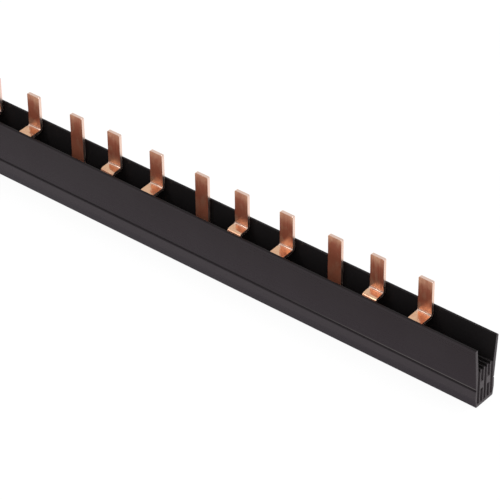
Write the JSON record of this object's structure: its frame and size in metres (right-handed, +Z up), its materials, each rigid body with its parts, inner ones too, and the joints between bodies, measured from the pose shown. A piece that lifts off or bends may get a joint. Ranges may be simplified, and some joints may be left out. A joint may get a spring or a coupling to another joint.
{
  "type": "comb busbar",
  "caption": "Three-phase comb busbar: flat copper pins in one row, alternately straight and stepped back, rise from strips held in a black open-topped insulating channel.",
  "frame": {"origin": "middle of the flat underside of the insulating profile", "axes": "+X along the bar to its right-hand end as the picture shows it, +Y from the front wall to the pins' side, +Z up along the pins"},
  "size_m": [0.2464, 0.0116, 0.0322],
  "materials": {
    "black_plastic": "satin black extruded plastic, glossy inside the channel",
    "copper": "bare stamped copper with fine rolling lines"
  },
  "bodies": {
    "root": {"insulating_profile": "black_plastic", "front_phase_comb": "copper", "middle_phase_comb": "copper", "rear_phase_comb": "copper"}
  },
  "joints": []
}
